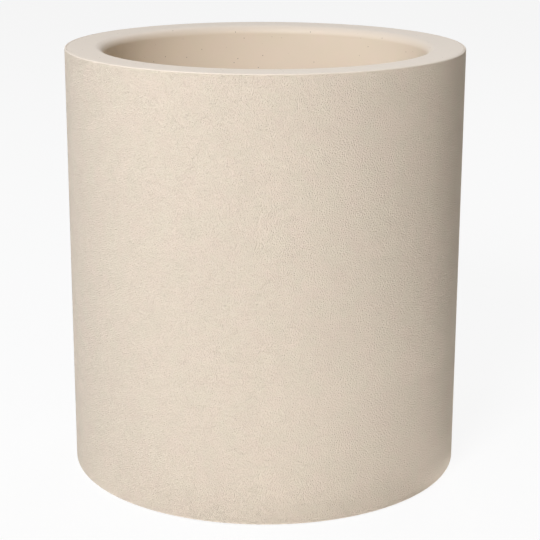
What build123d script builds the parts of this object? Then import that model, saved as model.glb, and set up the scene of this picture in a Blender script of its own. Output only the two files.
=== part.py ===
from build123d import *
from math import cos, radians, sin, tan
import os

# A round plastic floor planter: a straight, grained outer shell, closed at the top by a smooth inner pot
# whose broad flat flange is the rim. The two hold together by hooks that catch under a bead in the shell.
# The inner pot stands on ribs, drains through a spout in its floor, and holds a loose drainage grid.
# A push-in plug with a seal ring closes the spout from below, and four rubber pads carry the pot.
# Millimetres, +Z up, origin on the ground at the centre of the base.

# Overall form
POT_DIAMETER = 400.0
POT_HEIGHT = 434.0
RIM_FLAT = 29.0  # flat top of the rim, from the outer face to where the mouth starts to round over
MOUTH_ROUND = 9.0  # radius that rolls the rim over into the pot
MOUTH_SEAT = 22.0  # straight band below that, where a liner's collar fits
TOP_EDGE_ROUND = 1.2
RIM_EDGE_ROUND = 0.5  # the rim's own outer edge, beside the shell's lip
BASE_EDGE_ROUND = 2.5

# Outer shell
SHELL_WALL = 4.0
SHELL_FLOOR = 4.5
REBATE_DEPTH = 4.0  # step inside the shell's top edge that the rim drops into
LIP_WALL = 2.0  # what is left of the shell's wall outside that step
BASE_RING_WIDTH = 40.0  # the outer ring of the base, which stands lower than its middle
BASE_LIFT = 6.0  # how far the middle of the base is raised above that ring
BASE_RIBS = 12
BASE_RIB_WIDTH = 3.0
BASE_RIB_DEPTH = 4.5
BASE_RIB_START = 6.0  # free width between the plug's head and the ribs
BEAD_DROP = 17.0  # from the rebate's shelf to the middle of the snap bead
BEAD_HEIGHT = 1.2  # how far the bead stands in from the wall
BEAD_LENGTH = 5.0

# Inner pot
POT_WALL = 3.5
POT_FLOOR = 4.0
WALL_DRAFT = 1.5  # degrees
FLOOR_CORNER = 15.0
STAND_HEIGHT = 32.0  # ribs between the two floors
STAND_RIBS = 8
STAND_RIB_WIDTH = 4.0
STAND_REACH = 138.0  # radius where the ribs end
STAND_RING_RADIUS = 95.0
RIM_FIT = 0.15
SKIRT_WALL = 3.0
SKIRT_DEPTH = 9.0
SKIRT_FIT = 0.4
HOOKS = 8
HOOK_SWEEP = 14.0  # degrees
HOOK_WALL = 2.2
HOOK_CATCH = 0.9  # how far each hook reaches out under the bead
HOOK_LIP = 4.0  # height of the hook's nose
HOOK_GAP = 0.3
RIM_RIBS = 24
RIM_RIB_WIDTH = 2.5
RIM_RIB_DEPTH = 16.0
UNDER_ROUND = 4.0
JOIN = 1.0  # how far a rib or tongue runs into what it stands on, so that they are one solid

# Drain spout, plug and seal ring
SPOUT_BORE = 30.6
SPOUT_WALL = 3.5
SPOUT_INLET = 2.0  # chamfer at the top of the spout
SPOUT_FIT = 0.5
PLUG_FIT = 0.3
PLUG_LENGTH = 18.0
PLUG_HEAD_OVERLAP = 5.0  # how far the head covers the shell's floor all round
PLUG_HEAD = 3.5
PLUG_WALL = 3.0
PLUG_BAR = 4.0  # finger bar across the hollow plug
PLUG_NOSE = 1.5
SEAL_SECTION = 3.0
SEAL_FIT = 0.1
SEAL_PLACE = 9.0  # from the plug's seat up to the middle of the seal ring

# Drainage grid
GRID_LIFT = 22.0  # free height under the grid
GRID_THICKNESS = 3.0
GRID_FIT = 1.2
GRID_LIP_DEPTH = 7.0
GRID_LIP_WALL = 2.5
GRID_LEGS = 6
GRID_LEG_RADIUS = 8.0
GRID_LEG_WALL = 2.5
GRID_LEG_CIRCLE = 102.0  # radius of the circle that the legs stand on
GRID_LIFT_HOLE = 15.0  # radius of the finger hole in the middle
SLOT_WIDTH = 5.0
SLOT_LENGTH = 24.0
SLOT_RINGS = [(42.0, 6), (76.0, 12), (128.0, 20)]  # radius of the slots' middles, and how many

# Foot pads
PAD_DIAMETER = 26.0
PAD_THICKNESS = 5.0
PAD_SOCKET = 2.5
PAD_FIT = 0.2
PAD_EDGE = 0.8  # chamfer round the pad's foot
PADS = 4

# Worked out from the sizes above
outer_r = POT_DIAMETER / 2
bore_r = outer_r - SHELL_WALL
pad_rise = PAD_THICKNESS - PAD_SOCKET
ring_bottom = pad_rise
ring_top = ring_bottom + SHELL_FLOOR
base_bottom = ring_bottom + BASE_LIFT
base_top = base_bottom + SHELL_FLOOR
ring_inner_r = outer_r - BASE_RING_WIDTH
shelf_z = POT_HEIGHT - REBATE_DEPTH
lip_r = outer_r - LIP_WALL
bead_z = shelf_z - BEAD_DROP
bead_r = bore_r - BEAD_HEIGHT

spout_r = SPOUT_BORE / 2
spout_outer_r = spout_r + SPOUT_WALL
base_hole_r = spout_outer_r + SPOUT_FIT
plug_head_r = base_hole_r + PLUG_HEAD_OVERLAP

mouth_r = outer_r - RIM_FLAT - MOUTH_ROUND
seat_z = POT_HEIGHT - MOUTH_ROUND - MOUTH_SEAT
pot_floor_bottom = base_top + STAND_HEIGHT
pot_floor_top = pot_floor_bottom + POT_FLOOR
skirt_r = bore_r - SKIRT_FIT
skirt_inner_r = skirt_r - SKIRT_WALL
skirt_z = shelf_z - SKIRT_DEPTH


def inside_r(z):
    """Radius of the pot's inner face at height z: straight at the mouth, drafted below it."""
    return mouth_r - max(0.0, seat_z - z) * tan(radians(WALL_DRAFT))


def turned(points):
    """A closed outline of (radius, height) points, as a face in the XZ plane."""
    return make_face(Polyline([(r, 0, z) for r, z in points], close=True))


def rounded(face, corners):
    """The face with the corners nearest to the given (radius, height) points rounded."""
    for (r, z), radius in corners:
        corner = face.vertices().sort_by_distance((r, 0, z))[0]
        face = fillet(corner, radius)
    return face


def polar(shape, count, start=0.0):
    """Copies of the shape turned evenly about Z."""
    return [Rot(0, 0, start + k * 360 / count) * shape for k in range(count)]


def outer_shell():
    """The grained shell: straight wall, raised and ribbed base with a drain hole, rebate for the rim."""
    outline = turned(
        [
            (base_hole_r, base_bottom),
            (ring_inner_r, base_bottom),
            (ring_inner_r, ring_bottom),
            (outer_r, ring_bottom),
            (outer_r, POT_HEIGHT),
            (lip_r, POT_HEIGHT),
            (lip_r, shelf_z),
            (bore_r, shelf_z),
            (bore_r, bead_z + BEAD_LENGTH / 2),
            (bead_r, bead_z),
            (bore_r, bead_z - BEAD_LENGTH / 2),
            (bore_r, ring_top),
            (ring_inner_r + SHELL_WALL, ring_top),
            (ring_inner_r + SHELL_WALL, base_top),
            (base_hole_r, base_top),
        ]
    )
    outline = rounded(
        outline,
        [
            ((outer_r, POT_HEIGHT), TOP_EDGE_ROUND),
            ((outer_r, ring_bottom), BASE_EDGE_ROUND),
            ((bore_r, ring_top), BASE_EDGE_ROUND),
        ],
    )
    shell = revolve(outline, Axis.Z)
    shell += polar(base_rib(), BASE_RIBS)
    socket = Cylinder(
        PAD_DIAMETER / 2 + PAD_FIT,
        PAD_SOCKET,
        align=(Align.CENTER, Align.CENTER, Align.MIN),
    )
    for seat in pad_places(ring_bottom):
        shell -= seat * socket
    return shell


def base_rib():
    """A rib under the raised middle of the base, clear of the ground."""
    start = plug_head_r + BASE_RIB_START
    web = turned(
        [
            (start, base_bottom + JOIN),
            (start + BASE_RIB_DEPTH, base_bottom - BASE_RIB_DEPTH),
            (ring_inner_r + JOIN, base_bottom - BASE_RIB_DEPTH),
            (ring_inner_r + JOIN, base_bottom + JOIN),
        ]
    )
    return extrude(web, BASE_RIB_WIDTH / 2, both=True)


def pad_places(z):
    """Where the foot pads sit, in the middle of the base ring."""
    circle = (ring_inner_r + outer_r) / 2
    return [
        Pos(circle * cos(radians(a)), circle * sin(radians(a)), z)
        for a in [360 / PADS * (k + 0.5) for k in range(PADS)]
    ]


def inner_pot():
    """The smooth pot with its rim, skirt, hooks, rim ribs, stand ribs and drain spout."""
    low_in = inside_r(pot_floor_top)
    low_out = inside_r(pot_floor_bottom) + POT_WALL
    top_out = mouth_r + POT_WALL
    rim_r = lip_r - RIM_FIT
    outline = turned(
        [
            (spout_r, base_bottom),
            (spout_outer_r, base_bottom),
            (spout_outer_r, pot_floor_bottom),
            (low_out, pot_floor_bottom),
            (top_out, seat_z),
            (top_out, shelf_z),
            (skirt_inner_r, shelf_z),
            (skirt_inner_r, skirt_z),
            (skirt_r, skirt_z),
            (skirt_r, shelf_z),
            (rim_r, shelf_z),
            (rim_r, POT_HEIGHT),
            (mouth_r, POT_HEIGHT),
            (mouth_r, seat_z),
            (low_in, pot_floor_top),
            (spout_r, pot_floor_top),
        ]
    )
    outline = rounded(
        outline,
        [
            ((mouth_r, POT_HEIGHT), MOUTH_ROUND),
            ((rim_r, POT_HEIGHT), RIM_EDGE_ROUND),
            ((top_out, shelf_z), UNDER_ROUND),
            ((low_in, pot_floor_top), FLOOR_CORNER),
            ((low_out, pot_floor_bottom), FLOOR_CORNER + POT_FLOOR),
        ],
    )
    pot = revolve(eased_inlet(outline), Axis.Z)
    pot += polar(rim_rib(top_out), RIM_RIBS)
    pot += polar(stand_rib(), STAND_RIBS, 360 / STAND_RIBS / 2)
    pot += stand_ring()
    pot += polar(hook(), HOOKS, -HOOK_SWEEP / 2)
    return pot


def eased_inlet(outline):
    """Breaks the edge where the pot's floor runs into the spout."""
    corner = outline.vertices().sort_by_distance((spout_r, 0, pot_floor_top))[0]
    return chamfer(corner, SPOUT_INLET)


def rim_rib(top_out):
    """A gusset under the rim, between the pot's wall and the skirt."""
    low_z = shelf_z - RIM_RIB_DEPTH
    web = turned(
        [
            (inside_r(low_z) + POT_WALL - JOIN, low_z),
            (skirt_inner_r + JOIN, skirt_z),
            (skirt_inner_r + JOIN, shelf_z + JOIN),
            (top_out - JOIN, shelf_z + JOIN),
        ]
    )
    return extrude(web, RIM_RIB_WIDTH / 2, both=True)


def stand_rib():
    """A rib that carries the pot's floor on the shell's base."""
    web = turned(
        [
            (spout_outer_r - JOIN, base_top),
            (STAND_REACH, base_top),
            (STAND_REACH, pot_floor_bottom + JOIN),
            (spout_outer_r - JOIN, pot_floor_bottom + JOIN),
        ]
    )
    return extrude(web, STAND_RIB_WIDTH / 2, both=True)


def stand_ring():
    """A ring that ties the stand ribs together."""
    half = STAND_RIB_WIDTH / 2
    inner, outer = STAND_RING_RADIUS - half, STAND_RING_RADIUS + half
    top = pot_floor_bottom + JOIN
    return revolve(
        turned([(inner, base_top), (outer, base_top), (outer, top), (inner, top)]),
        Axis.Z,
    )


def hook():
    """A springy tongue below the skirt, with a nose that catches under the shell's bead."""
    back = skirt_r - HOOK_WALL - BEAD_HEIGHT
    face = bead_r - HOOK_GAP
    nose_top = bead_z - BEAD_LENGTH / 2 - HOOK_GAP
    web = turned(
        [
            (back, skirt_z + JOIN),
            (back, nose_top - HOOK_LIP),
            (face, nose_top - HOOK_LIP),
            (face + HOOK_CATCH, nose_top - HOOK_CATCH),
            (face + HOOK_CATCH, nose_top),
            (face, nose_top),
            (face, skirt_z + JOIN),
        ]
    )
    return revolve(web, Axis.Z, HOOK_SWEEP)


def drain_plug():
    """A hollow push-in plug with a wide head, a seal groove and a finger bar."""
    stem_r = spout_r - PLUG_FIT
    groove_r = spout_r - SEAL_FIT - SEAL_SECTION
    head_z = base_bottom - PLUG_HEAD
    hollow_top = base_bottom + SEAL_PLACE - SEAL_SECTION / 2 - PLUG_WALL
    groove = SEAL_SECTION / 2 + SEAL_FIT
    groove_z = base_bottom + SEAL_PLACE
    top = base_bottom + PLUG_LENGTH
    outline = turned(
        [
            (0, hollow_top),
            (stem_r - PLUG_WALL, hollow_top),
            (stem_r - PLUG_WALL, head_z),
            (plug_head_r, head_z),
            (plug_head_r, base_bottom),
            (stem_r, base_bottom),
            (stem_r, groove_z - groove),
            (groove_r, groove_z - groove),
            (groove_r, groove_z + groove),
            (stem_r, groove_z + groove),
            (stem_r, top - PLUG_NOSE),
            (stem_r - PLUG_NOSE, top),
            (0, top),
        ]
    )
    plug = revolve(outline, Axis.Z)
    bar = Box(
        2 * (stem_r - PLUG_WALL + JOIN),
        PLUG_BAR,
        hollow_top - head_z,
        align=(Align.CENTER, Align.CENTER, Align.MIN),
    )
    return plug + Pos(0, 0, head_z) * bar


def plug_seal():
    """The rubber ring in the plug's groove."""
    ring_r = spout_r - SEAL_FIT - SEAL_SECTION / 2
    return Pos(0, 0, base_bottom + SEAL_PLACE) * Torus(ring_r, SEAL_SECTION / 2)


def drainage_grid():
    """The loose slotted floor that keeps the soil above the drain, on hollow legs."""
    under = pot_floor_top + GRID_LIFT
    top = under + GRID_THICKNESS
    edge_r = inside_r(under - GRID_LIP_DEPTH) - GRID_FIT
    plate = revolve(
        turned(
            [
                (GRID_LIFT_HOLE, under),
                (edge_r - GRID_LIP_WALL, under),
                (edge_r - GRID_LIP_WALL, under - GRID_LIP_DEPTH),
                (edge_r, under - GRID_LIP_DEPTH),
                (edge_r, top),
                (GRID_LIFT_HOLE, top),
            ]
        ),
        Axis.Z,
    )
    slot = extrude(Rectangle(SLOT_LENGTH, SLOT_WIDTH), GRID_THICKNESS)
    for radius, count in SLOT_RINGS:
        plate -= polar(Pos(radius, 0, under) * slot, count)
    leg = Cylinder(
        GRID_LEG_RADIUS, GRID_LIFT, align=(Align.CENTER, Align.CENTER, Align.MIN)
    ) - Cylinder(
        GRID_LEG_RADIUS - GRID_LEG_WALL,
        GRID_LIFT,
        align=(Align.CENTER, Align.CENTER, Align.MIN),
    )
    legs = polar(Pos(GRID_LEG_CIRCLE, 0, pot_floor_top) * leg, GRID_LEGS)
    return plate + legs


def foot_pad(place):
    """A rubber pad pushed into its socket under the base ring."""
    pad = Cylinder(
        PAD_DIAMETER / 2, PAD_THICKNESS, align=(Align.CENTER, Align.CENTER, Align.MIN)
    )
    pad = chamfer(pad.edges().sort_by(Axis.Z)[0], PAD_EDGE)
    return place * pad


def main():
    os.makedirs("parts", exist_ok=True)
    pieces = {
        "outer_shell": outer_shell(),
        "inner_pot": inner_pot(),
        "drainage_grid": drainage_grid(),
        "drain_plug": drain_plug(),
        "plug_seal": plug_seal(),
    }
    for number, place in enumerate(pad_places(0), start=1):
        pieces[f"foot_pad_{number}"] = foot_pad(place)
    for name, shape in pieces.items():
        export_step(shape, f"parts/{name}.step")
        print(name, round(shape.volume), "mm3,", len(shape.solids()), "solid")


main()
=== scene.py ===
# %% [markdown]
# # A round plastic flower pot
#
# The pot is a plain cream cylinder. Its outer wall has a fine grain, like coarse sand, and its broad
# flat rim and its inside are smooth. Inside lies a dark drainage grid, and below there are a push-in
# drain plug and four rubber pads. The measured parts come first, as a fixed frame. Each piece is then
# modelled again with Blender's own tools, in the same place, and gets its finish. The seen outside and
# rim follow the photograph, and the grid, the plug and all below are how such pots are usually made.

# %% Load the frame
from math import cos, pi, radians, sin, tan

import bpy
from mathutils import Matrix, Vector


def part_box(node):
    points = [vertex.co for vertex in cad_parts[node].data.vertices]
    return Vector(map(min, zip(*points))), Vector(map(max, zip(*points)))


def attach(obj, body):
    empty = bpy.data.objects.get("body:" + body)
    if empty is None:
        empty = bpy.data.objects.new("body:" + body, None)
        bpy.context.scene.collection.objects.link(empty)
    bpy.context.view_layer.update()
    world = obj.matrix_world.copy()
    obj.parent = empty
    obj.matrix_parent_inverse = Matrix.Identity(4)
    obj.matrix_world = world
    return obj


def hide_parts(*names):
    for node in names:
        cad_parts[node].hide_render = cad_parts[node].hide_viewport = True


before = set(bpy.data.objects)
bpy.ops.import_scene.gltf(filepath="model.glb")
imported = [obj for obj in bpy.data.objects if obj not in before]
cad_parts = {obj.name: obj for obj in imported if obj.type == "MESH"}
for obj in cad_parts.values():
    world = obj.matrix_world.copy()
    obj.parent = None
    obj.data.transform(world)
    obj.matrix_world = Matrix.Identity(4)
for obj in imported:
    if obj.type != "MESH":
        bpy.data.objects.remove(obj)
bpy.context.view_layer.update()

MM = 0.001
print("nodes:", sorted(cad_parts))

# %% [markdown]
# ## The camera
#
# The camera stands where the photographer's did. Two ellipses, the mouth and the bottom edge, fix it:
# their widths give the distance, and how open they look gives the height. A long lens keeps the sides
# of the pot nearly upright. The camera is turned about its own axes, so its matrix is built from its
# place and three plain turns, one after the other, and not from a point that it looks at.

# %% Camera
CAMERA_DISTANCE = 1568 * MM
CAMERA_HEIGHT = 636.5 * MM
CAMERA_LENS = 104.07
CAMERA_SENSOR = 36
CAMERA_PITCH = radians(15.57)
CAMERA_YAW = radians(0.20)
CAMERA_ROLL = radians(0.21)

camera_data = bpy.data.cameras.new("camera")
camera_data.lens = CAMERA_LENS
camera_data.sensor_width = CAMERA_SENSOR
camera = bpy.data.objects.new("camera", camera_data)
bpy.context.scene.collection.objects.link(camera)
stand = Matrix.Translation((0, -CAMERA_DISTANCE, CAMERA_HEIGHT))
for angle, axis in ((-CAMERA_YAW, "Z"), (pi / 2 - CAMERA_PITCH, "X"), (CAMERA_ROLL, "Z")):
    stand = stand @ Matrix.Rotation(angle, 4, axis)
camera.matrix_world = stand
bpy.context.scene.camera = camera
print("camera at", [round(x, 3) for x in camera.matrix_world.translation])

# %% [markdown]
# ## Sizes
#
# What the frame can tell is read from its boxes, so that nothing has to be fitted afterwards. Wall
# thicknesses and roundings can't be read from a box, so they are named here in millimetres.

# %% Read the sizes from the frame
shell_low, shell_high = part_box("outer_shell")
pot_low, pot_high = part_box("inner_pot")
grid_low, grid_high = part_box("drainage_grid")
plug_low, plug_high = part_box("drain_plug")
seal_low, seal_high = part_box("plug_seal")

outer_r = min(shell_high.x, shell_high.y)
top_z = shell_high.z
ring_bottom = shell_low.z
rim_r = min(pot_high.x, pot_high.y)
base_bottom = pot_low.z
floor_top = grid_low.z
grid_top = grid_high.z
print("radius", round(outer_r / MM, 2), "height", round(top_z / MM, 2),
      "pot's floor", round(floor_top / MM, 2))

# %% [markdown]
# ## A lathe made of operators
#
# Nearly everything here is round, so one way of working makes most of the pieces: draw half of the
# section, round its corners, and spin it about the axis. A cylinder with loop cuts could make the same
# form, but then every step and lip is one more cut. Drawing the section keeps the whole form in one
# short list, as on a workshop drawing. The section starts as a tiny plane merged to one point, and each
# further corner is an extrusion of the last one.

# %% Draw a section
def only(*objects):
    """Leaves edit mode, deselects everything, and selects these objects, the last one active."""
    if bpy.context.object and bpy.context.object.mode != "OBJECT":
        bpy.ops.object.mode_set(mode="OBJECT")
    bpy.ops.object.select_all(action="DESELECT")
    for obj in objects:
        obj.select_set(True)
    bpy.context.view_layer.objects.active = objects[-1]


def settled(*objects):
    """Moves the objects' place, turn and size into their meshes."""
    only(*objects)
    bpy.ops.object.transform_apply(location=True, rotation=True, scale=True)


def drawn(name, corners):
    """A flat face in the XZ plane with the given (radius, height) corners."""
    r, z = corners[0]
    if bpy.context.object:
        only(bpy.context.object)
    bpy.ops.mesh.primitive_plane_add(size=MM, location=(r, 0, z))
    section = bpy.context.object
    section.name = name
    settled(section)
    bpy.ops.object.mode_set(mode="EDIT")
    bpy.ops.mesh.select_mode(type="VERT")
    bpy.ops.mesh.select_all(action="SELECT")
    bpy.ops.mesh.merge(type="CENTER")
    for (r0, z0), (r1, z1) in zip(corners, corners[1:]):
        bpy.ops.mesh.extrude_region_move(TRANSFORM_OT_translate={"value": (r1 - r0, 0, z1 - z0)})
    bpy.ops.mesh.select_all(action="SELECT")
    bpy.ops.mesh.edge_face_add()
    bpy.ops.object.mode_set(mode="OBJECT")
    return section


# %% [markdown]
# Moulded plastic has no knife-sharp corners, because a mould tool is cut with round tools. Rounding a
# corner of the flat section is one vertex bevel. Bevelling the finished ring instead would mean
# hundreds of edges at once, and small errors where they meet. Each rounding below is named as a pair, its
# size and its number of segments: more segments where the light runs along it, two where it only takes
# the sharpness off.

# %% Round the corners of a section
NEAR = 0.02 * MM


def select_points(obj, wanted):
    """Enters edit mode with the points of obj for which wanted(position) is true selected."""
    only(obj)
    bpy.ops.object.mode_set(mode="EDIT")
    bpy.ops.mesh.select_mode(type="VERT")
    bpy.ops.mesh.select_all(action="DESELECT")
    bpy.ops.object.mode_set(mode="OBJECT")
    for vertex in obj.data.vertices:
        vertex.select = wanted(vertex.co)
    bpy.ops.object.mode_set(mode="EDIT")


def eased(section, roundings):
    """Rounds the section's corners: each item is a corner and its (size, segments)."""
    for (r, z), (size, segments) in roundings:
        select_points(section, lambda co: abs(co.x - r) < NEAR and abs(co.z - z) < NEAR)
        bpy.ops.mesh.bevel(offset=size, segments=segments, affect="VERTICES")
    bpy.ops.object.mode_set(mode="OBJECT")
    return section


# %% [markdown]
# After the spin, the seam is merged and the normals are turned outwards. Smooth shading alone would
# bend the light on a flat face next to a rounding, because a corner's normal is the mean of its faces.
# A Weighted Normal modifier gives the large flat faces the say, so they stay flat. A section that starts
# at the axis leaves a tiny hole there, which is merged to one point.

# %% Spin a section and shade it
SMOOTH_ANGLE = radians(35)
DOUBLED = NEAR / 10
AXIS_HOLE = 2 * NEAR


def shaded(obj):
    """Smooth shading that keeps flat faces flat, applied to the mesh."""
    only(obj)
    bpy.ops.object.shade_smooth_by_angle(angle=SMOOTH_ANGLE)
    weighted = obj.modifiers.new("weighted", "WEIGHTED_NORMAL")
    weighted.keep_sharp = True
    bpy.ops.object.modifier_apply(modifier=weighted.name)
    return obj


def select_whole(obj):
    """Enters edit mode with all of obj selected."""
    only(obj)
    bpy.ops.object.mode_set(mode="EDIT")
    bpy.ops.mesh.select_all(action="SELECT")


def outwards(obj):
    """Merges doubled points and turns every face outwards."""
    select_whole(obj)
    bpy.ops.mesh.remove_doubles(threshold=DOUBLED)
    bpy.ops.mesh.normals_make_consistent(inside=False)
    bpy.ops.object.mode_set(mode="OBJECT")
    return obj


def spun(section, steps):
    """Turns a section into a closed ring about the pot's axis."""
    select_whole(section)
    bpy.ops.mesh.delete(type="ONLY_FACE")
    bpy.ops.mesh.select_all(action="SELECT")
    bpy.ops.mesh.spin(steps=steps, angle=2 * pi, center=(0, 0, 0), axis=(0, 0, 1))
    return outwards(section)


def closed_at_axis(obj):
    """Merges the tiny hole that the spin leaves at the axis."""
    select_points(obj, lambda co: Vector((co.x, co.y)).length < AXIS_HOLE)
    bpy.ops.mesh.remove_doubles(threshold=2 * AXIS_HOLE)
    bpy.ops.object.mode_set(mode="OBJECT")


def report(obj):
    """Prints the size and triangle count of a piece."""
    corners = [Vector(c) for c in obj.bound_box]
    size = [round((max(c[k] for c in corners) - min(c[k] for c in corners)) / MM, 1) for k in range(3)]
    triangles = sum(len(face.vertices) - 2 for face in obj.data.polygons)
    print(obj.name, "size in mm", size, "triangles", triangles)


# %% [markdown]
# ## Ribs and copies
#
# Ribs are flat plates that stand on the round walls. Each kind is drawn once in the same section view,
# given its thickness by one extrusion, and copied round the axis. Every copy has its own mesh, and all
# of them are joined to the moulding that they belong to. Holes are cut with a Boolean modifier that is
# applied at once, so that the mesh is final.

# %% Plates, copies round the axis, joining and cutting
RIB_EDGE = 0.3 * MM


def plate(section, thickness):
    """Gives the section thickness along Y, half to each side, with slightly broken edges."""
    select_whole(section)
    bpy.ops.transform.translate(value=(0, -thickness / 2, 0))
    bpy.ops.mesh.extrude_region_move(TRANSFORM_OT_translate={"value": (0, thickness, 0)})
    bpy.ops.object.mode_set(mode="OBJECT")
    outwards(section)
    edge = section.modifiers.new("edge", "BEVEL")
    edge.width = RIB_EDGE
    edge.segments = 1
    bpy.ops.object.modifier_apply(modifier=edge.name)
    return section


def around(obj, count, start=0.0):
    """Copies of obj, itself the first, turned evenly about the axis."""
    copies = []
    for k in range(count):
        only(obj)
        bpy.ops.object.duplicate(linked=False)
        bpy.ops.transform.rotate(value=-(start + 2 * pi * k / count), orient_axis="Z",
                                 center_override=(0, 0, 0))
        copies.append(bpy.context.object)
    bpy.data.objects.remove(obj)
    settled(*copies)
    return copies


def joined(main, others):
    """Joins the other objects into main."""
    only(*others, main)
    bpy.ops.object.join()
    return main


def cut_away(obj, cutter):
    """Takes the cutter's shape out of obj and removes the cutter."""
    cut = obj.modifiers.new("cut", "BOOLEAN")
    cut.operation = "DIFFERENCE"
    cut.solver = "EXACT"
    cut.object = cutter
    only(obj)
    bpy.ops.object.modifier_apply(modifier=cut.name)
    bpy.data.objects.remove(cutter)


# %% [markdown]
# ## Outer shell
#
# The shell is the grained wall that everyone sees. It stands on a ring, its base is raised inside that
# ring and stiffened with ribs, and its top edge has a step inside, so that only a lip two millimetres
# wide shows beside the rim. The joint between the two mouldings then falls on the flat top, where it
# hides best.

# %% Draw the shell's section
SHELL_WALL = 4 * MM
SHELL_FLOOR = 4.5 * MM
REBATE_DEPTH = 4 * MM
LIP_WALL = 2 * MM
BASE_RING_WIDTH = 40 * MM
SPOUT_RADIUS = 15.3 * MM
SPOUT_WALL = 3.5 * MM
SPOUT_FIT = 0.5 * MM
TOP_EDGE_ROUND = 1.2 * MM
TOP_EDGE = (TOP_EDGE_ROUND, 5)
LIP_EDGE = (0.3 * MM, 2)
BASE_EDGE = (2.5 * MM, 6)
RING_EDGE = (1.0 * MM, 3)
RING_CORNER = (2.5 * MM, 3)
RECESS_CORNER = (1.5 * MM, 3)
BASE_HOLE_EDGE = (0.5 * MM, 2)
BEAD_DROP = 17 * MM
BEAD_HEIGHT = 1.2 * MM
BEAD_LENGTH = 5 * MM
SHELL_STEPS = 480

bore_r = outer_r - SHELL_WALL
lip_r = outer_r - LIP_WALL
shelf_z = top_z - REBATE_DEPTH
ring_inner_r = outer_r - BASE_RING_WIDTH
ring_top = ring_bottom + SHELL_FLOOR
base_top = base_bottom + SHELL_FLOOR
bead_z = shelf_z - BEAD_DROP
bead_r = bore_r - BEAD_HEIGHT
spout_outer_r = SPOUT_RADIUS + SPOUT_WALL
base_hole_r = spout_outer_r + SPOUT_FIT

shell = drawn("shell_grained", [
    (base_hole_r, base_bottom), (ring_inner_r, base_bottom), (ring_inner_r, ring_bottom),
    (outer_r, ring_bottom), (outer_r, top_z), (lip_r, top_z), (lip_r, shelf_z), (bore_r, shelf_z),
    (bore_r, bead_z + BEAD_LENGTH / 2), (bead_r, bead_z), (bore_r, bead_z - BEAD_LENGTH / 2),
    (bore_r, ring_top), (ring_inner_r + SHELL_WALL, ring_top), (ring_inner_r + SHELL_WALL, base_top),
    (base_hole_r, base_top)])
eased(shell, [
    ((outer_r, top_z), TOP_EDGE), ((lip_r, top_z), LIP_EDGE), ((outer_r, ring_bottom), BASE_EDGE),
    ((ring_inner_r, ring_bottom), RING_EDGE), ((ring_inner_r, base_bottom), RECESS_CORNER),
    ((base_hole_r, base_bottom), BASE_HOLE_EDGE), ((bore_r, ring_top), RING_CORNER)])
spun(shell, SHELL_STEPS)
report(shell)

# %% [markdown]
# The raised base has ribs below it, and the ring has four round sockets for the pads. The sockets are
# cut with a Boolean modifier: the ring is one flat face there, and drawing a round pocket into a ring
# of narrow quads by hand would leave a ragged edge.

# %% Base ribs and pad sockets
BASE_RIBS = 12
BASE_RIB_WIDTH = 3 * MM
BASE_RIB_DEPTH = 4.5 * MM
BASE_RIB_START = 6 * MM
JOIN = 1 * MM
PAD_SOCKET = 2.5 * MM
PAD_FIT = 0.2 * MM
SOCKET_SIDES = 96
PAD_NODES = ["foot_pad_1", "foot_pad_2", "foot_pad_3", "foot_pad_4"]

plug_head_r = min(plug_high.x, plug_high.y)
rib_start = plug_head_r + BASE_RIB_START
rib_bottom = base_bottom - BASE_RIB_DEPTH
base_rib = plate(drawn("base_rib", [
    (rib_start, base_bottom + JOIN), (rib_start + BASE_RIB_DEPTH, rib_bottom),
    (ring_inner_r + JOIN, rib_bottom), (ring_inner_r + JOIN, base_bottom + JOIN)]), BASE_RIB_WIDTH)
pads = [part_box(name) for name in PAD_NODES]
cutters = []
for low, high in pads:
    centre = (low + high) / 2
    only(shell)
    bpy.ops.mesh.primitive_cylinder_add(
        vertices=SOCKET_SIDES, radius=(high.x - low.x) / 2 + PAD_FIT, depth=2 * PAD_SOCKET,
        location=(centre.x, centre.y, ring_bottom))
    cutters.append(bpy.context.object)
socket_cutter = joined(cutters[0], cutters[1:])
settled(socket_cutter)
cut_away(shell, socket_cutter)
joined(shell, around(base_rib, BASE_RIBS))
shaded(shell)
report(shell)

# %% [markdown]
# ## Inner pot
#
# The inner pot and the rim are one smooth moulding. Its broad flange rests in the shell's step, a skirt
# centres it, and the mouth rolls over in a rounding of nine millimetres, which catches a soft band of
# light all the way round. That rounding gets many segments, because it is the one curve that the eye
# follows. Below a short straight band, the wall leans in by a degree and a half, so that the moulding
# could leave its tool.

# %% Draw and spin the inner pot
RIM_FLAT = 29 * MM
MOUTH_ROUND = 9 * MM
MOUTH_SEAT = 22 * MM
RIM_EDGE_ROUND = 0.5 * MM
MOUTH_EDGE = (MOUTH_ROUND, 24)
RIM_EDGE = (RIM_EDGE_ROUND, 3)
FLANGE_CORNER = (4 * MM, 4)
POT_WALL = 3.5 * MM
POT_FLOOR = 4 * MM
WALL_DRAFT = radians(1.5)
FLOOR_ROUND = 15 * MM
FLOOR_CORNER = (FLOOR_ROUND, 14)
FLOOR_CORNER_BELOW = (FLOOR_ROUND + POT_FLOOR, 8)
SKIRT_FIT = 0.4 * MM
SKIRT_WALL = 3 * MM
SKIRT_DEPTH = 9 * MM
SPOUT_INLET = (2 * MM, 4)
POT_STEPS = 384

mouth_r = outer_r - RIM_FLAT - MOUTH_ROUND
seat_z = top_z - MOUTH_ROUND - MOUTH_SEAT
floor_bottom = floor_top - POT_FLOOR
skirt_r = bore_r - SKIRT_FIT
skirt_inner_r = skirt_r - SKIRT_WALL
skirt_z = shelf_z - SKIRT_DEPTH
under_r = mouth_r + POT_WALL


def inside_r(z):
    """Radius of the pot's inner face at height z."""
    return mouth_r - max(0, seat_z - z) * tan(WALL_DRAFT)


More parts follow.
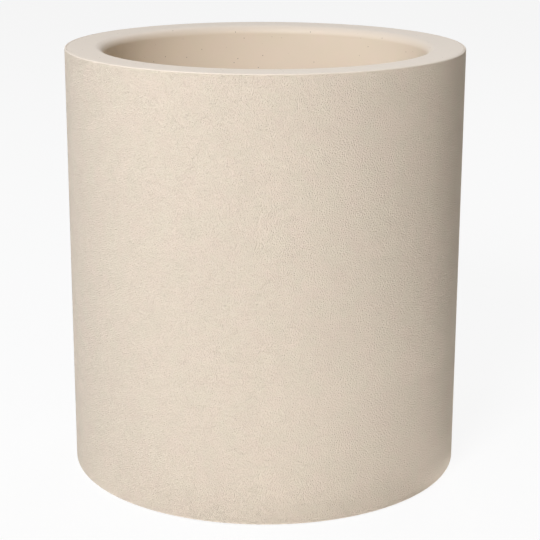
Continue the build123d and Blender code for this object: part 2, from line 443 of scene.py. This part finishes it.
low_in = inside_r(floor_top)
low_out = inside_r(floor_bottom) + POT_WALL
pot = drawn("pot_smooth", [
    (SPOUT_RADIUS, base_bottom), (spout_outer_r, base_bottom), (spout_outer_r, floor_bottom),
    (low_out, floor_bottom), (under_r, seat_z), (under_r, shelf_z), (skirt_inner_r, shelf_z),
    (skirt_inner_r, skirt_z), (skirt_r, skirt_z), (skirt_r, shelf_z), (rim_r, shelf_z), (rim_r, top_z),
    (mouth_r, top_z), (mouth_r, seat_z), (low_in, floor_top), (SPOUT_RADIUS, floor_top)])
eased(pot, [
    ((mouth_r, top_z), MOUTH_EDGE), ((rim_r, top_z), RIM_EDGE), ((under_r, shelf_z), FLANGE_CORNER),
    ((low_in, floor_top), FLOOR_CORNER), ((low_out, floor_bottom), FLOOR_CORNER_BELOW),
    ((SPOUT_RADIUS, floor_top), SPOUT_INLET)])
spun(pot, POT_STEPS)
report(pot)

# %% [markdown]
# Under the rim and under the floor the moulding is ribbed, as such thin walls are. The gussets carry the
# flange, the stand ribs and their ring carry the floor on the shell's base, and eight tongues with a
# small nose snap in under the shell's bead.

# %% Gussets, stand ribs, stand ring and snap hooks
RIM_RIBS = 24
RIM_RIB_WIDTH = 2.5 * MM
RIM_RIB_DEPTH = 16 * MM
STAND_RIBS = 8
STAND_RIB_WIDTH = 4 * MM
STAND_REACH = 138 * MM
STAND_RING_RADIUS = 95 * MM
STAND_RING_STEPS = 128
HOOKS = 8
HOOK_SWEEP = radians(14)
HOOK_STEPS = 12
HOOK_WALL = 2.2 * MM
HOOK_CATCH = 0.9 * MM
HOOK_LIP = 4 * MM
HOOK_GAP = 0.3 * MM

gusset = plate(drawn("gusset", [
    (under_r - JOIN, shelf_z - RIM_RIB_DEPTH), (skirt_inner_r + JOIN, skirt_z),
    (skirt_inner_r + JOIN, shelf_z + JOIN), (under_r - JOIN, shelf_z + JOIN)]), RIM_RIB_WIDTH)
stand_rib = plate(drawn("stand_rib", [
    (spout_outer_r - JOIN, base_top), (STAND_REACH, base_top), (STAND_REACH, floor_bottom + JOIN),
    (spout_outer_r - JOIN, floor_bottom + JOIN)]), STAND_RIB_WIDTH)
ring_in, ring_out = STAND_RING_RADIUS - STAND_RIB_WIDTH / 2, STAND_RING_RADIUS + STAND_RIB_WIDTH / 2
stand_ring = spun(drawn("stand_ring", [
    (ring_in, base_top), (ring_out, base_top), (ring_out, floor_bottom + JOIN),
    (ring_in, floor_bottom + JOIN)]), STAND_RING_STEPS)

hook_face = bead_r - HOOK_GAP
hook_back = skirt_r - HOOK_WALL - BEAD_HEIGHT
nose_top = bead_z - BEAD_LENGTH / 2 - HOOK_GAP
hook = drawn("hook", [
    (hook_back, skirt_z + JOIN), (hook_back, nose_top - HOOK_LIP), (hook_face, nose_top - HOOK_LIP),
    (hook_face + HOOK_CATCH, nose_top - HOOK_CATCH), (hook_face + HOOK_CATCH, nose_top),
    (hook_face, nose_top), (hook_face, skirt_z + JOIN)])
select_whole(hook)
bpy.ops.mesh.spin(steps=HOOK_STEPS, angle=HOOK_SWEEP, center=(0, 0, 0), axis=(0, 0, 1))
bpy.ops.object.mode_set(mode="OBJECT")
outwards(hook)

details = around(gusset, RIM_RIBS) + around(stand_rib, STAND_RIBS, pi / STAND_RIBS)
details += around(hook, HOOKS, -HOOK_SWEEP / 2) + [stand_ring]
joined(pot, details)
shaded(pot)
report(pot)

# %% [markdown]
# ## Drainage grid
#
# The grid is a loose dark disc that keeps the soil out of the drain. It stands on six hollow legs, has a
# stiffening lip, and a hole in the middle for a finger. The disc is spun like the pot. One leg is spun at
# the axis, moved out to its circle and copied round, since that needs no second way of working.

# %% Grid plate and legs
GRID_THICKNESS = 3 * MM
GRID_LIP_WALL = 2.5 * MM
GRID_LIP_DEPTH = 7 * MM
GRID_HOLE = 15 * MM
GRID_EDGE = (0.6 * MM, 2)
GRID_TOP_EDGE = (1.2 * MM, 4)
GRID_HOLE_EDGE = (1.0 * MM, 4)
GRID_LEGS = 6
GRID_LEG_RADIUS = 8 * MM
GRID_LEG_WALL = 2.5 * MM
GRID_LEG_CIRCLE = 102 * MM
GRID_LEG_STEPS = 48
GRID_STEPS = 240

grid_r = min(grid_high.x, grid_high.y)
grid_under = grid_top - GRID_THICKNESS
lip_z = grid_under - GRID_LIP_DEPTH
grid = drawn("grid_moulded", [
    (GRID_HOLE, grid_under), (grid_r - GRID_LIP_WALL, grid_under), (grid_r - GRID_LIP_WALL, lip_z),
    (grid_r, lip_z), (grid_r, grid_top), (GRID_HOLE, grid_top)])
eased(grid, [
    ((grid_r, grid_top), GRID_TOP_EDGE), ((grid_r, lip_z), GRID_EDGE),
    ((grid_r - GRID_LIP_WALL, lip_z), GRID_EDGE), ((GRID_HOLE, grid_top), GRID_HOLE_EDGE),
    ((GRID_HOLE, grid_under), GRID_EDGE)])
spun(grid, GRID_STEPS)

leg_inner = GRID_LEG_RADIUS - GRID_LEG_WALL
leg = drawn("leg", [
    (leg_inner, floor_top), (GRID_LEG_RADIUS, floor_top), (GRID_LEG_RADIUS, grid_under + JOIN),
    (leg_inner, grid_under + JOIN)])
eased(leg, [((leg_inner, floor_top), GRID_EDGE), ((GRID_LEG_RADIUS, floor_top), GRID_EDGE)])
spun(leg, GRID_LEG_STEPS)
leg.location.x = GRID_LEG_CIRCLE
settled(leg)
legs = around(leg, GRID_LEGS)
report(grid)

# %% [markdown]
# The slots lie in three rings and point outwards, so that no straight line of weakness runs across the
# disc. Insetting and deleting faces would need a face of the right shape for each slot. Blocks are cut
# out with one Boolean instead. A block is waisted: its two ends are extruded and scaled up, so that each
# slot gets the broken edge of a moulded one.

# %% Cut the slots
SLOT_WIDTH = 5 * MM
SLOT_LENGTH = 24 * MM
SLOT_RINGS = [(42 * MM, 6), (76 * MM, 12), (128 * MM, 20)]
SLOT_FLARE = 0.5 * MM
SLOT_STUB = 2 * SLOT_FLARE

slot_middle = (grid_top + grid_under) / 2


def slot_cutter():
    """A slot-shaped block, waisted so that both mouths of the slot flare."""
    only(grid)
    bpy.ops.mesh.primitive_cube_add(size=1, location=(0, 0, slot_middle))
    block = bpy.context.object
    block.scale = (SLOT_LENGTH, SLOT_WIDTH, GRID_THICKNESS - 2 * SLOT_FLARE)
    settled(block)
    flare = (1 + 2 * SLOT_STUB / SLOT_LENGTH, 1 + 2 * SLOT_STUB / SLOT_WIDTH, 1)
    for side in (1, -1):
        select_points(block, lambda co: (co.z - slot_middle) * side > 0)
        bpy.ops.mesh.extrude_region_move(TRANSFORM_OT_translate={"value": (0, 0, side * SLOT_STUB)})
        bpy.ops.transform.resize(value=flare)
    bpy.ops.object.mode_set(mode="OBJECT")
    return block


slots = []
for radius, count in SLOT_RINGS:
    block = slot_cutter()
    block.location.x = radius
    settled(block)
    slots += around(block, count)
cut_away(grid, joined(slots[0], slots[1:]))
joined(grid, legs)
shaded(grid)
report(grid)

# %% [markdown]
# ## Drain plug and its seal
#
# The plug is pushed into the spout from below and pulled out by a bar across its hollow stem. Stem, head
# and groove are one section, spun. The bar is a plate drawn across the hollow. It reaches a little into
# the wall on each side and is joined to the plug, because a union would only hide the same overlap.

# %% Drain plug
PLUG_FIT = 0.3 * MM
PLUG_WALL = 3 * MM
PLUG_BAR = 4 * MM
PLUG_NOSE = 1.5 * MM
PLUG_HEAD_EDGE = (1.2 * MM, 5)
PLUG_SHOULDER = (0.4 * MM, 2)
PLUG_HOLLOW_EDGE = (0.8 * MM, 3)
PLUG_NOSE_EDGE = (0.5 * MM, 2)
SEAL_FIT = 0.1 * MM
PLUG_STEPS = 128

stem_r = SPOUT_RADIUS - PLUG_FIT
hollow_r = stem_r - PLUG_WALL
seal_section = seal_high.z - seal_low.z
seal_z = (seal_low.z + seal_high.z) / 2
groove_r = SPOUT_RADIUS - SEAL_FIT - seal_section
groove = seal_section / 2 + SEAL_FIT
hollow_top = seal_low.z - PLUG_WALL
plug_bottom, plug_top = plug_low.z, plug_high.z

plug = drawn("plug_moulded", [
    (NEAR, hollow_top), (hollow_r, hollow_top), (hollow_r, plug_bottom), (plug_head_r, plug_bottom),
    (plug_head_r, base_bottom), (stem_r, base_bottom), (stem_r, seal_z - groove),
    (groove_r, seal_z - groove), (groove_r, seal_z + groove), (stem_r, seal_z + groove),
    (stem_r, plug_top - PLUG_NOSE), (stem_r - PLUG_NOSE, plug_top), (NEAR, plug_top)])
eased(plug, [
    ((plug_head_r, plug_bottom), PLUG_HEAD_EDGE), ((plug_head_r, base_bottom), PLUG_SHOULDER),
    ((hollow_r, plug_bottom), PLUG_HOLLOW_EDGE), ((hollow_r, hollow_top), PLUG_HOLLOW_EDGE),
    ((stem_r - PLUG_NOSE, plug_top), PLUG_NOSE_EDGE), ((stem_r, plug_top - PLUG_NOSE), PLUG_NOSE_EDGE)])
spun(plug, PLUG_STEPS)
closed_at_axis(plug)

bar_section = drawn("bar", [
    (-hollow_r - JOIN, plug_bottom), (hollow_r + JOIN, plug_bottom),
    (hollow_r + JOIN, hollow_top + JOIN), (-hollow_r - JOIN, hollow_top + JOIN)])
bar = plate(bar_section, PLUG_BAR)
joined(plug, [bar])
outwards(plug)
shaded(plug)
report(plug)

# %% [markdown]
# A rubber ring in the plug's groove keeps the water in. Its section is a circle, so it starts as a filled
# circle that is stood upright and spun. A torus would be quicker, but such a ring comes out of a mould in
# two halves, which leaves a fine line round its inner waist, and one pulled point of the circle makes it.

# %% Seal ring
SEAL_FLASH = 0.06 * MM
SEAL_SIDES = 32

seal_r = SPOUT_RADIUS - SEAL_FIT - seal_section / 2
only(plug)
bpy.ops.mesh.primitive_circle_add(vertices=SEAL_SIDES, radius=seal_section / 2, fill_type="NGON",
                                  location=(seal_r, 0, seal_z), rotation=(pi / 2, 0, 0))
seal = bpy.context.object
seal.name = "seal_ring"
settled(seal)
select_points(seal, lambda co: abs(co.z - seal_z) < NEAR and co.x < seal_r)
bpy.ops.transform.translate(value=(-SEAL_FLASH, 0, 0))
spun(seal, PLUG_STEPS)
only(seal)
bpy.ops.object.shade_smooth()
report(seal)

# %% [markdown]
# ## Foot pads
#
# Each pad is a rubber disc with a rounded foot. Its underside is dished a little and has two fine rings,
# which let it grip a wet floor. One pad is drawn at the axis, and each of the four is a copy moved to its
# own socket.

# %% Four rubber pads
PAD_EDGE = (0.8 * MM, 4)
PAD_TOP_EDGE = (0.3 * MM, 2)
PAD_DISH = 0.5 * MM
PAD_TREAD = 2 * MM
PAD_SLOPE = 0.5 * MM
PAD_RINGS = [5 * MM, 9 * MM]
RING_HALF = 0.6 * MM
PAD_STEPS = 96

pad_r = (pads[0][1].x - pads[0][0].x) / 2
pad_thickness = pads[0][1].z - pads[0][0].z


def pad_piece(number, low, high):
    """One pad, drawn at the axis and moved to its socket."""
    foot = [(NEAR, PAD_DISH)]
    for ring in PAD_RINGS:
        foot += [(ring - RING_HALF, PAD_DISH), (ring, 0), (ring + RING_HALF, PAD_DISH)]
    foot += [(pad_r - PAD_TREAD - PAD_SLOPE, PAD_DISH), (pad_r - PAD_TREAD, 0), (pad_r, 0)]
    pad = drawn(f"pad_{number}", foot + [(pad_r, pad_thickness), (NEAR, pad_thickness)])
    eased(pad, [((pad_r, 0), PAD_EDGE), ((pad_r, pad_thickness), PAD_TOP_EDGE)])
    spun(pad, PAD_STEPS)
    closed_at_axis(pad)
    centre = (low + high) / 2
    pad.location = (centre.x, centre.y, low.z)
    settled(pad)
    return shaded(pad)


pad_pieces = [pad_piece(number, low, high) for number, (low, high) in enumerate(pads, start=1)]
report(pad_pieces[0])

# %% [markdown]
# ## Finishes
#
# Every finish is built from nodes, in the object's own coordinates, so it stays put when the piece
# moves. A helper adds a node and sets its values by name, so that each finish reads like a list. Noise
# from 0 to 1 lies mostly near its middle, so it is spread before it blends two colours.

# %% Helpers for node materials
def new_finish(name, color, roughness):
    """A material with its shader's plain values set."""
    material = bpy.data.materials.new(name)
    material.use_nodes = True
    shader = next(n for n in material.node_tree.nodes if n.type == "BSDF_PRINCIPLED")
    shader.inputs["Base Color"].default_value = (*color, 1)
    shader.inputs["Roughness"].default_value = roughness
    return material, shader


def node(material, kind, **values):
    """Adds a node. A value named like a socket goes to the socket, any other to the node itself."""
    added = material.node_tree.nodes.new(kind)
    for name, value in values.items():
        label = name.replace("_", " ").title()
        if label in added.inputs:
            added.inputs[label].default_value = value
        else:
            setattr(added, name, value)
    return added


def wire(material, out_socket, in_socket):
    """Links two sockets."""
    material.node_tree.links.new(out_socket, in_socket)


def place(material):
    """The object coordinates, in metres."""
    return node(material, "ShaderNodeTexCoord").outputs["Object"]


def noise(material, size, detail=2.0, roughness=0.5):
    """Cloudy noise whose patches are about size across, from 0 to 1."""
    made = node(material, "ShaderNodeTexNoise", scale=1 / size, detail=detail, roughness=roughness)
    wire(material, place(material), made.inputs["Vector"])
    return made.outputs[0]


def spread(material, value, low, high, to_low=0, to_high=1):
    """Maps a value from low..high to to_low..to_high, and no further."""
    made = node(material, "ShaderNodeMapRange", from_min=low, from_max=high, to_min=to_low, to_max=to_high)
    wire(material, value, made.inputs["Value"])
    return made.outputs["Result"]


def blended(material, share, first, second):
    """A colour between first and second. Each is a plain colour or a socket."""
    made = node(material, "ShaderNodeMix", data_type="RGBA")
    wire(material, share, made.inputs["Factor"])
    for given, socket in ((first, made.inputs[6]), (second, made.inputs[7])):
        if isinstance(given, tuple):
            socket.default_value = (*given, 1)
        else:
            wire(material, given, socket)
    return made.outputs[2]


def bumped(material, height, depth, under=None, share=None):
    """A normal from a height of 0 to 1, depth metres deep, on top of another one, where share is 1."""
    made = node(material, "ShaderNodeBump", distance=depth)
    wire(material, height, made.inputs["Height"])
    if share is not None:
        wire(material, share, made.inputs["Strength"])
    if under is not None:
        wire(material, under, made.inputs["Normal"])
    return made.outputs["Normal"]


# %% [markdown]
# ### Grained plastic
#
# The shell's grain comes from the mould: a fine pattern of soft bumps one to two millimetres wide. It is
# too fine to model, since each bump would need dozens of faces, so it is a bump in the material, in two
# sizes. The pits are coloured a touch darker, a painted shade for the light that doesn't get out of them,
# and a very faint mottling keeps the wide wall from looking computed. Real grain stops at the top edge,
# where the tool is polished. So its strength fades out by height on the rounding of the lip, and its
# tone goes over to the rim's paler colour, a painted top light.

# %% Grained plastic
CREAM = (0.80, 0.69, 0.56)
# painted top light: the rim and the lip are coloured paler and greyer than the wall
CREAM_RIM_PAINTED_LIGHT = (0.79, 0.70, 0.60)
CREAM_PINK = (0.81, 0.687, 0.563)
CREAM_GREEN = (0.793, 0.693, 0.558)
# painted shade: the grain's pits are coloured darker where less light gets out of them
CREAM_PIT_PAINTED_SHADE = (0.755, 0.645, 0.518)
GRAINED_ROUGHNESS = 0.62
COARSE_GRAIN, COARSE_DEPTH = 0.95 * MM, 2.1 * MM
FINE_GRAIN, FINE_DEPTH = 0.55 * MM, 0.2 * MM
WALL_MOTTLE = 22 * MM
MOTTLED = (0.35, 0.65)
PIT_PAINTED_SHADE_RANGE = (0.25, 0.45)
LIP_FADE_START = top_z - TOP_EDGE_ROUND
LIP_FADE_END = top_z - TOP_EDGE_ROUND / 4


def height_of(material):
    """The height above the ground, in metres."""
    made = node(material, "ShaderNodeSeparateXYZ")
    wire(material, place(material), made.inputs["Vector"])
    return made.outputs["Z"]


grained, shader = new_finish("grained_plastic", CREAM, GRAINED_ROUGHNESS)
coarse = noise(grained, COARSE_GRAIN, detail=1.0)
fine = noise(grained, FINE_GRAIN, detail=0.0)
tone = blended(grained, spread(grained, noise(grained, WALL_MOTTLE), *MOTTLED), CREAM_GREEN, CREAM_PINK)
# painted shade: darker colour in the pits of the grain
wall_tone_and_pit_shade = blended(grained, spread(grained, coarse, *PIT_PAINTED_SHADE_RANGE, 1, 0), tone, CREAM_PIT_PAINTED_SHADE)
below_lip = spread(grained, height_of(grained), LIP_FADE_START, LIP_FADE_END, 1, 0)
# the lip's top goes over to the rim's paler colour, a painted top light
wire(grained, blended(grained, below_lip, CREAM_RIM_PAINTED_LIGHT, wall_tone_and_pit_shade), shader.inputs["Base Color"])
normal = bumped(grained, coarse, COARSE_DEPTH, share=below_lip)
wire(grained, bumped(grained, fine, FINE_DEPTH, normal, share=below_lip), shader.inputs["Normal"])
print("grained plastic: grain of", round(COARSE_GRAIN / MM, 2), "and", round(FINE_GRAIN / MM, 2), "mm")

# %% [markdown]
# ### Smooth plastic
#
# The rim and the inside are the same cream plastic from a smooth tool. It is a little glossier, and it
# shows what the grain hides: a few tiny dark specks of foreign granules. A Voronoi pattern gives the
# distance to the nearest of many scattered points in space. A speck shows only where such a point lies
# close to the surface, so there are few of them. The rim is painted paler than the inside, a painted top
# light, and the inside darker and yellower, a painted shade that grows with depth over the rolled edge.

# %% Smooth plastic
# painted shade: the inside is coloured darker and yellower than the rim of the same plastic
CREAM_INSIDE_PAINTED_SHADE = (0.765, 0.655, 0.515)
CREAM_INSIDE_PAINTED_SHADE_PINK = (0.775, 0.652, 0.522)
SPECK = (0.30, 0.22, 0.15)
SPECK_CELL = 9 * MM
SPECK_CORE, SPECK_RADIUS = 0.042, 0.07
SMOOTH_ROUGHNESS = 0.58
INSIDE_MOTTLE = 25 * MM
SMOOTH_SKIN, SMOOTH_SKIN_DEPTH = 0.8 * MM, 0.02 * MM

smooth, shader = new_finish("smooth_plastic", CREAM, SMOOTH_ROUGHNESS)
mottle = spread(smooth, noise(smooth, INSIDE_MOTTLE), *MOTTLED)
inside = blended(smooth, mottle, CREAM_INSIDE_PAINTED_SHADE, CREAM_INSIDE_PAINTED_SHADE_PINK)
# painted shade: darker and yellower with depth over the rolled edge into the mouth
painted_shade_in_mouth = spread(smooth, height_of(smooth), top_z - MOUTH_ROUND, top_z - RIM_EDGE_ROUND, 1, 0)
tone = blended(smooth, painted_shade_in_mouth, CREAM_RIM_PAINTED_LIGHT, inside)
cells = node(smooth, "ShaderNodeTexVoronoi", scale=1 / SPECK_CELL)
wire(smooth, place(smooth), cells.inputs["Vector"])
is_speck = spread(smooth, cells.outputs["Distance"], SPECK_CORE, SPECK_RADIUS, 1, 0)
wire(smooth, blended(smooth, is_speck, tone, SPECK), shader.inputs["Base Color"])
skin = noise(smooth, SMOOTH_SKIN)
wire(smooth, bumped(smooth, skin, SMOOTH_SKIN_DEPTH), shader.inputs["Normal"])
print("smooth plastic: specks about", round(2 * SPECK_RADIUS * SPECK_CELL / MM, 2), "mm across at most")

# %% [markdown]
# ### Dark recycled plastic
#
# Hidden parts are moulded from dark regrind. It is never one even black: there are faint grey flow marks,
# a little rougher than the rest, and the surface is slightly uneven. One function makes it for the grid
# and the plug, which differ only in how strong the marks are.

# %% Dark plastic
DARK = (0.045, 0.045, 0.047)
GRID_MARKS = (0.07, 0.07, 0.072)
PLUG_MARKS = (0.06, 0.06, 0.063)
DARK_ROUGHNESS = 0.42
DARK_ROUGHNESS_RANGE = (0.36, 0.5)
FLOW = 18 * MM
FLOW_MARKED = (0.35, 0.7)
FLOW_RANGE = (0.3, 0.7)
DARK_SKIN, DARK_SKIN_DEPTH = 1.5 * MM, 0.05 * MM


def dark_plastic(name, marks):
    """Satin dark plastic with faint flow marks."""
    material, shader = new_finish(name, DARK, DARK_ROUGHNESS)
    flow = noise(material, FLOW, detail=4.0, roughness=0.6)
    wire(material, blended(material, spread(material, flow, *FLOW_MARKED), DARK, marks),
         shader.inputs["Base Color"])
    rough = spread(material, flow, *FLOW_RANGE, *DARK_ROUGHNESS_RANGE)
    wire(material, rough, shader.inputs["Roughness"])
    uneven = noise(material, DARK_SKIN)
    wire(material, bumped(material, uneven, DARK_SKIN_DEPTH), shader.inputs["Normal"])
    return material


grid_plastic = dark_plastic("grid_plastic", GRID_MARKS)
plug_plastic = dark_plastic("plug_plastic", PLUG_MARKS)
print("dark plastic: roughness", DARK_ROUGHNESS_RANGE)

# %% [markdown]
# ### Rubber
#
# The pads and the seal are duller and darker than the plastic, with a fine skin. A flat black would show
# no form at all, so the tone wanders a little, and the shallow bump gives the highlight a soft edge.

# %% Rubber
RUBBER = (0.03, 0.03, 0.03)
RUBBER_DARK = (0.028, 0.028, 0.028)
RUBBER_GREY = (0.04, 0.04, 0.041)
RUBBER_ROUGHNESS = 0.75
RUBBER_MOTTLE = 6 * MM
RUBBER_SKIN, RUBBER_SKIN_DEPTH = 0.9 * MM, 0.08 * MM

rubber, shader = new_finish("rubber", RUBBER, RUBBER_ROUGHNESS)
mottle = spread(rubber, noise(rubber, RUBBER_MOTTLE), *MOTTLED)
wire(rubber, blended(rubber, mottle, RUBBER_DARK, RUBBER_GREY), shader.inputs["Base Color"])
skin = noise(rubber, RUBBER_SKIN)
wire(rubber, bumped(rubber, skin, RUBBER_SKIN_DEPTH), shader.inputs["Normal"])
print("rubber: roughness", RUBBER_ROUGHNESS)

# %% [markdown]
# ## Put every piece on its body
#
# A piece stands for its measured node, rides on that node's body, and names the finish it uses.

# %% Bodies, nodes and finishes
pieces = [(shell, "outer_shell", "pot", grained, "grained_plastic"),
          (pot, "inner_pot", "pot", smooth, "smooth_plastic"),
          (grid, "drainage_grid", "grid", grid_plastic, "grid_plastic"),
          (plug, "drain_plug", "plug", plug_plastic, "plug_plastic"),
          (seal, "plug_seal", "plug", rubber, "rubber")]
pieces += [(pad, name, "pot", rubber, "rubber") for name, pad in zip(PAD_NODES, pad_pieces)]
for piece, cad_node, body, finish, slot in pieces:
    piece.data.materials.clear()
    piece.data.materials.append(finish)
    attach(piece, body)
    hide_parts(cad_node)
    print(piece.name, "stands for", cad_node, "on", body)

# %% [markdown]
# ## Floor
#
# The pot stands on a white sweep. The floor looks white to the camera, and yet it keeps a soft shadow:
# its material is part plain emission, which only the camera sees, and part lit surface. More light would
# make it white too, but it would bleach the pot with it. Seen from below the floor is clear, and it lets
# the lamps' shadow rays through, so that the underside can be looked at with the pot standing.

# %% Floor
FLOOR_SIZE = 40.0
FLOOR_GLOW = 0.9
FLOOR_GAP = 0.05 * MM
FLOOR_WHITE = (0.85, 0.85, 0.85)
FLOOR_ROUGHNESS = 0.9

only(shell)
bpy.ops.mesh.primitive_plane_add(size=FLOOR_SIZE, location=(0, 0, -FLOOR_GAP))
floor = bpy.context.object
floor.name = "floor"
sweep, shader = new_finish("white_sweep", FLOOR_WHITE, FLOOR_ROUGHNESS)
paths = node(sweep, "ShaderNodeLightPath")
glow = node(sweep, "ShaderNodeEmission", strength=1.0)
both = node(sweep, "ShaderNodeMixShader")
seen = node(sweep, "ShaderNodeMath", operation="MULTIPLY")
seen.inputs[1].default_value = FLOOR_GLOW
wire(sweep, paths.outputs["Is Camera Ray"], seen.inputs[0])
wire(sweep, seen.outputs[0], both.inputs["Fac"])
wire(sweep, shader.outputs[0], both.inputs[1])
wire(sweep, glow.outputs[0], both.inputs[2])

out = next(n for n in sweep.node_tree.nodes if n.type == "OUTPUT_MATERIAL")
one_sided = node(sweep, "ShaderNodeMixShader")
clear = node(sweep, "ShaderNodeBsdfTransparent")
below = node(sweep, "ShaderNodeMath", operation="MAXIMUM")
wire(sweep, node(sweep, "ShaderNodeNewGeometry").outputs["Backfacing"], below.inputs[0])
wire(sweep, paths.outputs["Is Shadow Ray"], below.inputs[1])
wire(sweep, below.outputs[0], one_sided.inputs["Fac"])
wire(sweep, both.outputs[0], one_sided.inputs[1])
wire(sweep, clear.outputs[0], one_sided.inputs[2])
wire(sweep, one_sided.outputs[0], out.inputs["Surface"])
floor.data.materials.append(sweep)
print("floor at", round(-FLOOR_GAP / MM, 2), "mm, with a glow of", FLOOR_GLOW)

# %% [markdown]
# ## Background
#
# The world is white to the camera and in reflections, so the picture gets a white background at no cost
# to the shading. The pot itself gets only a faint even light from it, which lifts the deepest shadows.

# %% World
WORLD_WHITE = 1.0
WORLD_GLOW = 0.05

world = bpy.data.worlds.new("studio")
world.use_nodes = True
bpy.context.scene.world = world
background = next(n for n in world.node_tree.nodes if n.type == "BACKGROUND")
background.inputs["Color"].default_value = (1, 1, 1, 1)
paths = node(world, "ShaderNodeLightPath")
direct = node(world, "ShaderNodeMath", operation="MAXIMUM")
wire(world, paths.outputs["Is Camera Ray"], direct.inputs[0])
wire(world, paths.outputs["Is Glossy Ray"], direct.inputs[1])
strength = spread(world, direct.outputs[0], 0, 1, WORLD_GLOW, WORLD_WHITE)
wire(world, strength, background.inputs["Strength"])
print("world:", WORLD_WHITE, "to the camera,", WORLD_GLOW, "as light")

# %% [markdown]
# ## Lights
#
# The photograph was lit from the front and a little to the left, which the soft fall-off to the right
# shows. The key light is small enough to bring out the grain. The left and back lights are cooler, the
# right one is weak and warm, and the last one stands below the floor and lights only the underside.
# Each lamp is listed with its azimuth and elevation in degrees, its distance and size in metres, its
# power in watts and its colour.

# %% Lights
WHITE = (1.0, 1.0, 1.0)
COOL = (0.90, 0.95, 1.0)
FRESH = (0.97, 0.975, 1.0)
WARM = (1.0, 0.82, 0.55)
LIGHTS = {
    "key": (-20, 35, 3.0, 0.8, 80, FRESH),
    "left": (-100, 20, 3.0, 1.0, 18, COOL),
    "right": (75, 18, 3.0, 1.0, 5.5, WARM),
    "back": (160, 45, 3.0, 1.0, 17, FRESH),
    "under": (0, -90, 1.4, 0.3, 9, WHITE),
}
LIGHT_TARGET = Vector((0, 0, 0.2))


def direction(azimuth, elevation):
    """A unit vector. Azimuth 0 is the camera's side, and negative is left."""
    a, e = radians(azimuth), radians(elevation)
    return Vector((sin(a) * cos(e), -cos(a) * cos(e), sin(e)))


def soft_light(name, place, facing, size, power, color):
    """A square soft box at a place, shining along facing. The camera doesn't see it."""
    data = bpy.data.lights.new(name, "AREA")
    data.shape = "SQUARE"
    data.size = size
    data.energy = power
    data.color = color
    light = bpy.data.objects.new(name, data)
    light.visible_camera = False
    bpy.context.scene.collection.objects.link(light)
    light.matrix_world = Matrix.Translation(place) @ (-facing).to_track_quat("Z", "Y").to_matrix().to_4x4()


for name, (azimuth, elevation, distance, size, power, color) in LIGHTS.items():
    towards = direction(azimuth, elevation)
    soft_light(name, LIGHT_TARGET + towards * distance, -towards, size, power, color)
print("lights:", list(LIGHTS))

# %% [markdown]
# ## Cards
#
# In a real studio the white floor throws light back up on the wall. This floor does so only in part, so
# weak lamps lie on it and face up, as white cards would. Each has its azimuth in degrees, its distance
# from the axis and size in metres, its power in watts and its colour.

# %% Cards
CARDS = {
    "card_right": (60, 0.42, 0.35, 0.13, WHITE),
    "card_front": (5, 0.42, 0.35, 0.19, WHITE),
    "card_left": (-50, 0.42, 0.35, 0.06, WHITE),
    "card_corner": (58, 0.40, 0.34, 0.16, WHITE),
}
CARD_LIFT = 2 * MM

for name, (azimuth, distance, size, power, color) in CARDS.items():
    lying = direction(azimuth, 0) * distance + Vector((0, 0, CARD_LIFT))
    soft_light(name, lying, Vector((0, 0, 1)), size, power, color)
print("cards:", list(CARDS))

# %% [markdown]
# ## Finish
#
# The view transform is Standard, so that a colour renders as it is written.

# %% Finish
bpy.context.scene.view_settings.view_transform = "Standard"
